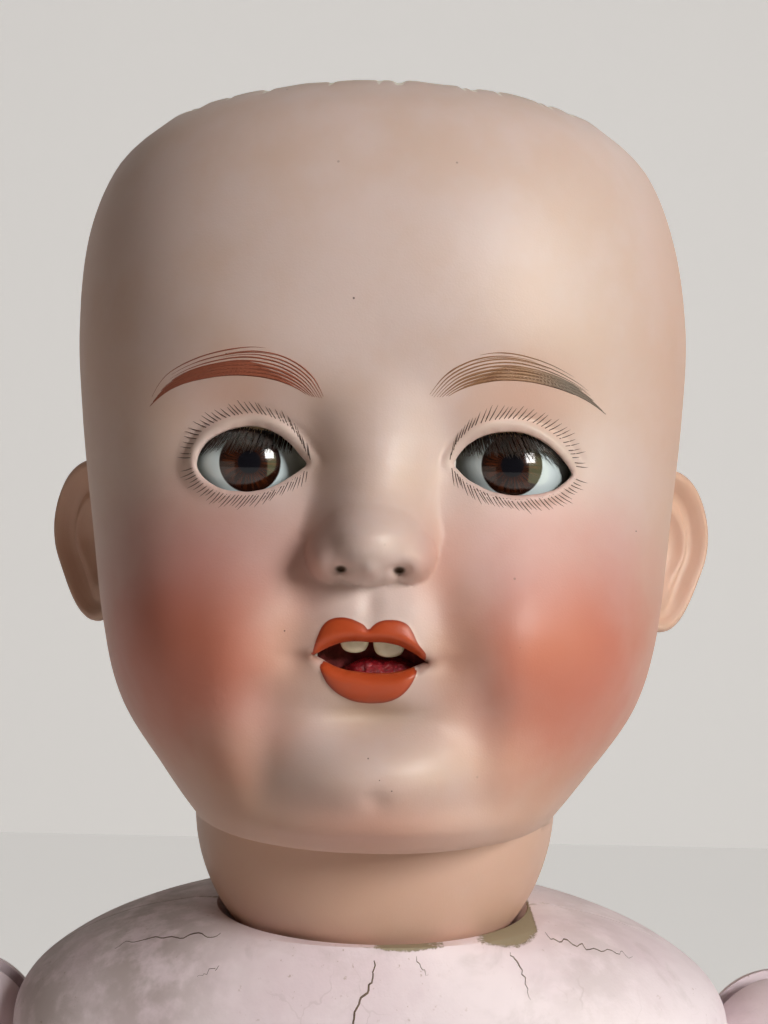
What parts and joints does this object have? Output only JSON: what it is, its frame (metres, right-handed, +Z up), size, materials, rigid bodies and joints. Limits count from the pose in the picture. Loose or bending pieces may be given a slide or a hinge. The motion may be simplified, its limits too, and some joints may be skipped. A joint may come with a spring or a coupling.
{
  "type": "bisque toddler doll",
  "caption": "Bisque-headed toddler doll with open crown, sleep eyes, open mouth with teeth, and a strung ball-jointed composition body, standing.",
  "frame": {"origin": "on the floor, below the middle of the standing doll", "axes": "+Z up, the face looks along -Y, +X to the doll's own left"},
  "size_m": [0.2508, 0.1673, 0.6392],
  "materials": {
    "bisque": "unglazed satin bisque, painted and fired",
    "eye_glass": "polished glass with a brown threaded iris",
    "lid_wax": "waxed lid with hair lashes",
    "tooth_glaze": "glazed",
    "tongue_red": "red felt, lacquered",
    "plaster": "matt plaster of Paris",
    "cork": "raw cork",
    "steel": "drawn wire, dulled",
    "lead": "cast lead, dull",
    "turned_wood": "turned wood, painted skin colour where it shows",
    "composition": "painted and varnished composition, worn",
    "elastic_cord": "cotton-covered elastic"
  },
  "bodies": {
    "torso": {"torso_front": "composition", "torso_back": "composition", "arm_elastic": "elastic_cord", "leg_elastic": "elastic_cord"},
    "neck_fitting": {"neck_button": "turned_wood", "neck_hook": "steel", "neck_spring": "steel", "neck_nut": "steel"},
    "head": {"bisque_head": "bisque", "upper_tooth_left": "tooth_glaze", "upper_tooth_right": "tooth_glaze", "teeth_plaster": "plaster", "tongue": "tongue_red", "cork_stop": "cork", "eye_plaster_left": "plaster", "eye_plaster_right": "plaster"},
    "sleep_eyes": {"eyeball_left": "eye_glass", "eyeball_right": "eye_glass", "eyelid_left": "lid_wax", "eyelid_right": "lid_wax", "eye_rocker": "steel", "eye_weight": "lead"},
    "arm_link_left": {"arm_hook_left": "steel"},
    "upper_arm_left": {"upper_arm_left": "composition", "arm_pin_left": "steel"},
    "elbow_left": {"elbow_ball_left": "turned_wood"},
    "forearm_left": {"forearm_left": "composition"},
    "hand_left": {"hand_left": "composition"},
    "leg_link_left": {"leg_hook_left": "steel"},
    "thigh_left": {"thigh_left": "composition", "leg_pin_left": "steel"},
    "knee_left": {"knee_ball_left": "turned_wood"},
    "shin_left": {"shin_left": "composition"},
    "arm_link_right": {"arm_hook_right": "steel"},
    "upper_arm_right": {"upper_arm_right": "composition", "arm_pin_right": "steel"},
    "elbow_right": {"elbow_ball_right": "turned_wood"},
    "forearm_right": {"forearm_right": "composition"},
    "hand_right": {"hand_right": "composition"},
    "leg_link_right": {"leg_hook_right": "steel"},
    "thigh_right": {"thigh_right": "composition", "leg_pin_right": "steel"},
    "knee_right": {"knee_ball_right": "turned_wood"},
    "shin_right": {"shin_right": "composition"}
  },
  "joints": [
    {"name": "neck_turn", "type": "hinge", "parent": "torso", "child": "neck_fitting", "pos_m": [0, 0, 0.49], "axis": [0, 0, 1], "range_deg": [-85, 85]},
    {"name": "neck_nod", "type": "hinge", "parent": "neck_fitting", "child": "head", "pos_m": [0, 0, 0.49], "axis": [1, 0, 0], "range_deg": [-12, 15]},
    {"name": "eyes_sleep", "type": "hinge", "parent": "head", "child": "sleep_eyes", "pos_m": [0, -0.0495, 0.5645], "axis": [1, 0, 0], "range_deg": [0, 55]},
    {"name": "shoulder_swing_left", "type": "hinge", "parent": "torso", "child": "arm_link_left", "pos_m": [0.095, 0.006, 0.433], "axis": [-1, 0, 0], "range_deg": [-40, 130]},
    {"name": "shoulder_raise_left", "type": "hinge", "parent": "arm_link_left", "child": "upper_arm_left", "pos_m": [0.095, 0.006, 0.433], "axis": [0, -1, 0], "range_deg": [0, 80]},
    {"name": "elbow_flex_left", "type": "hinge", "parent": "upper_arm_left", "child": "elbow_left", "pos_m": [0.10613, 0.006, 0.35378], "axis": [-0.9903, 0, -0.1392], "range_deg": [0, 95]},
    {"name": "forearm_turn_left", "type": "hinge", "parent": "elbow_left", "child": "forearm_left", "pos_m": [0.10613, 0.006, 0.35378], "axis": [-0.1392, 0, 0.9903], "range_deg": [-80, 80]},
    {"name": "wrist_turn_left", "type": "hinge", "parent": "forearm_left", "child": "hand_left", "pos_m": [0.11504, 0.006, 0.2904], "axis": [-0.1392, 0, 0.9903], "range_deg": [-80, 80]},
    {"name": "hip_turn_left", "type": "hinge", "parent": "torso", "child": "leg_link_left", "pos_m": [0.039, 0.001, 0.262], "axis": [0, 0, 1], "range_deg": [-10, 15]},
    {"name": "hip_swing_left", "type": "hinge", "parent": "leg_link_left", "child": "thigh_left", "pos_m": [0.039, 0.001, 0.262], "axis": [-1, 0, 0], "range_deg": [-12, 75]},
    {"name": "knee_flex_left", "type": "hinge", "parent": "thigh_left", "child": "knee_left", "pos_m": [0.039, 0.001, 0.14], "axis": [1, 0, 0], "range_deg": [0, 95]},
    {"name": "shin_turn_left", "type": "hinge", "parent": "knee_left", "child": "shin_left", "pos_m": [0.039, 0.001, 0.14], "axis": [0, 0, 1], "range_deg": [-5, 15]},
    {"name": "shoulder_swing_right", "type": "hinge", "parent": "torso", "child": "arm_link_right", "pos_m": [-0.095, 0.006, 0.433], "axis": [-1, 0, 0], "range_deg": [-40, 130]},
    {"name": "shoulder_raise_right", "type": "hinge", "parent": "arm_link_right", "child": "upper_arm_right", "pos_m": [-0.095, 0.006, 0.433], "axis": [0, 1, 0], "range_deg": [0, 80]},
    {"name": "elbow_flex_right", "type": "hinge", "parent": "upper_arm_right", "child": "elbow_right", "pos_m": [-0.10613, 0.006, 0.35378], "axis": [-0.9903, 0, 0.1392], "range_deg": [0, 95]},
    {"name": "forearm_turn_right", "type": "hinge", "parent": "elbow_right", "child": "forearm_right", "pos_m": [-0.10613, 0.006, 0.35378], "axis": [0.1392, 0, 0.9903], "range_deg": [-80, 80]},
    {"name": "wrist_turn_right", "type": "hinge", "parent": "forearm_right", "child": "hand_right", "pos_m": [-0.11504, 0.006, 0.2904], "axis": [0.1392, 0, 0.9903], "range_deg": [-80, 80]},
    {"name": "hip_turn_right", "type": "hinge", "parent": "torso", "child": "leg_link_right", "pos_m": [-0.039, 0.001, 0.262], "axis": [0, 0, -1], "range_deg": [-10, 15]},
    {"name": "hip_swing_right", "type": "hinge", "parent": "leg_link_right", "child": "thigh_right", "pos_m": [-0.039, 0.001, 0.262], "axis": [-1, 0, 0], "range_deg": [-12, 75]},
    {"name": "knee_flex_right", "type": "hinge", "parent": "thigh_right", "child": "knee_right", "pos_m": [-0.039, 0.001, 0.14], "axis": [1, 0, 0], "range_deg": [0, 95]},
    {"name": "shin_turn_right", "type": "hinge", "parent": "knee_right", "child": "shin_right", "pos_m": [-0.039, 0.001, 0.14], "axis": [0, 0, -1], "range_deg": [-5, 15]}
  ]
}
